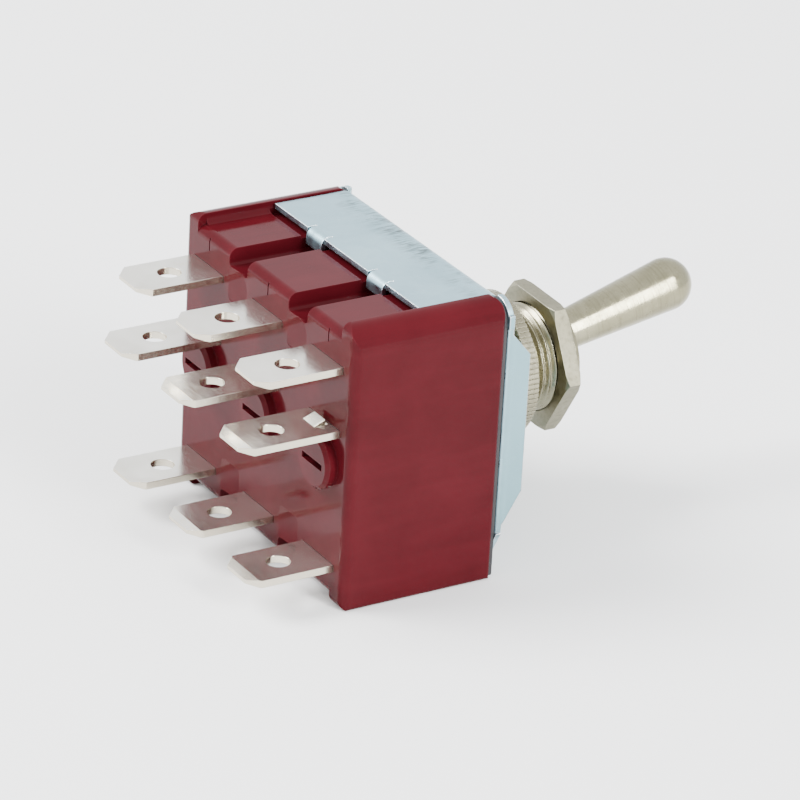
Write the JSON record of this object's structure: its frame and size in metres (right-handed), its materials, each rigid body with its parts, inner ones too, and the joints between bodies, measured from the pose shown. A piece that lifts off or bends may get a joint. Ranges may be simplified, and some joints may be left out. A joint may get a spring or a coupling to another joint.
{
  "type": "panel toggle switch",
  "caption": "Panel toggle switch with a red moulded case, folded steel frame, threaded bushing with ring nut and hex nut, bat lever and rows of flat push-on tabs.",
  "frame": {"origin": "on the bushing axis, in the plane of the side flanges' front edges, where the back of the panel rests", "axes": "+X out of the panel along the bushing towards the lever, +Z the way the lever points at rest, the poles in a row along Y"},
  "size_m": [0.0643, 0.036, 0.0319],
  "materials": {
    "case_red": "glossy moulded phenolic red",
    "gasket_black": "matte insulating sheet",
    "zinc_steel": "bright zinc plate",
    "nickel_plate": "satin nickel plate on brass",
    "lever_nickel": "polished nickel plate on brass",
    "spring_steel": "bright drawn steel",
    "carriage_plastic": "natural moulded plastic",
    "brass_turned": "turned brass",
    "copper_strip": "copper alloy strip",
    "silver": "silver contact rivets",
    "tinned_brass": "bright tin plate on brass"
  },
  "bodies": {
    "switch_body": {"case": "case_red", "gasket": "gasket_black", "frame": "zinc_steel", "bushing": "nickel_plate", "knurled_ring": "nickel_plate", "hex_nut": "nickel_plate", "pivot_pin": "spring_steel", "fixed_contacts": "silver", "upper_terminal_a": "tinned_brass", "upper_terminal_b": "tinned_brass", "upper_terminal_c": "tinned_brass", "common_terminal_a": "tinned_brass", "common_terminal_b": "tinned_brass", "common_terminal_c": "tinned_brass", "lower_terminal_a": "tinned_brass", "lower_terminal_b": "tinned_brass", "lower_terminal_c": "tinned_brass"},
    "toggle_lever": {"lever": "lever_nickel"},
    "slider": {"carriage": "carriage_plastic", "spring_a": "spring_steel", "spring_b": "spring_steel", "spring_c": "spring_steel"},
    "rocker_body_a": {"rocker_a": "copper_strip", "rocker_contacts_a": "silver"},
    "rocker_body_b": {"rocker_b": "copper_strip", "rocker_contacts_b": "silver"},
    "rocker_body_c": {"rocker_c": "copper_strip", "rocker_contacts_c": "silver"},
    "plunger_body_a": {"plunger_a": "brass_turned"},
    "plunger_body_b": {"plunger_b": "brass_turned"},
    "plunger_body_c": {"plunger_c": "brass_turned"}
  },
  "joints": [
    {"name": "lever_toggle", "type": "hinge", "parent": "switch_body", "child": "toggle_lever", "pos_m": [0.0074, 0, 0], "axis": [0, 1, 0], "range_deg": [0, 27.4]},
    {"name": "carriage_slide", "type": "slide", "parent": "switch_body", "child": "slider", "axis": [0, 0, 1], "range_m": [0, 0.00587]},
    {"name": "rocker_a_pivot", "type": "hinge", "parent": "switch_body", "child": "rocker_body_a", "pos_m": [-0.01595, 0.0125, 0], "axis": [0, 1, 0], "range_deg": [-16, 0]},
    {"name": "rocker_b_pivot", "type": "hinge", "parent": "switch_body", "child": "rocker_body_b", "pos_m": [-0.01595, 0, 0], "axis": [0, 1, 0], "range_deg": [-16, 0]},
    {"name": "rocker_c_pivot", "type": "hinge", "parent": "switch_body", "child": "rocker_body_c", "pos_m": [-0.01595, -0.0125, 0], "axis": [0, 1, 0], "range_deg": [-16, 0]},
    {"name": "plunger_a_slide", "type": "slide", "parent": "slider", "child": "plunger_body_a", "axis": [1, 0, 0], "range_m": [0, 0.0008], "stiffness_N_per_m": 20, "springref_m": -0.002, "deforming": ["spring_a"]},
    {"name": "plunger_b_slide", "type": "slide", "parent": "slider", "child": "plunger_body_b", "axis": [1, 0, 0], "range_m": [0, 0.0008], "stiffness_N_per_m": 20, "springref_m": -0.002, "deforming": ["spring_b"]},
    {"name": "plunger_c_slide", "type": "slide", "parent": "slider", "child": "plunger_body_c", "axis": [1, 0, 0], "range_m": [0, 0.0008], "stiffness_N_per_m": 20, "springref_m": -0.002, "deforming": ["spring_c"]}
  ],
  "couplings": [
    {"joint": "carriage_slide", "follows": "lever_toggle", "m_per_rad": 0.012282},
    {"joint": "rocker_a_pivot", "follows": "lever_toggle", "ratio": -0.58394},
    {"joint": "rocker_b_pivot", "follows": "lever_toggle", "ratio": -0.58394},
    {"joint": "rocker_c_pivot", "follows": "lever_toggle", "ratio": -0.58394}
  ]
}
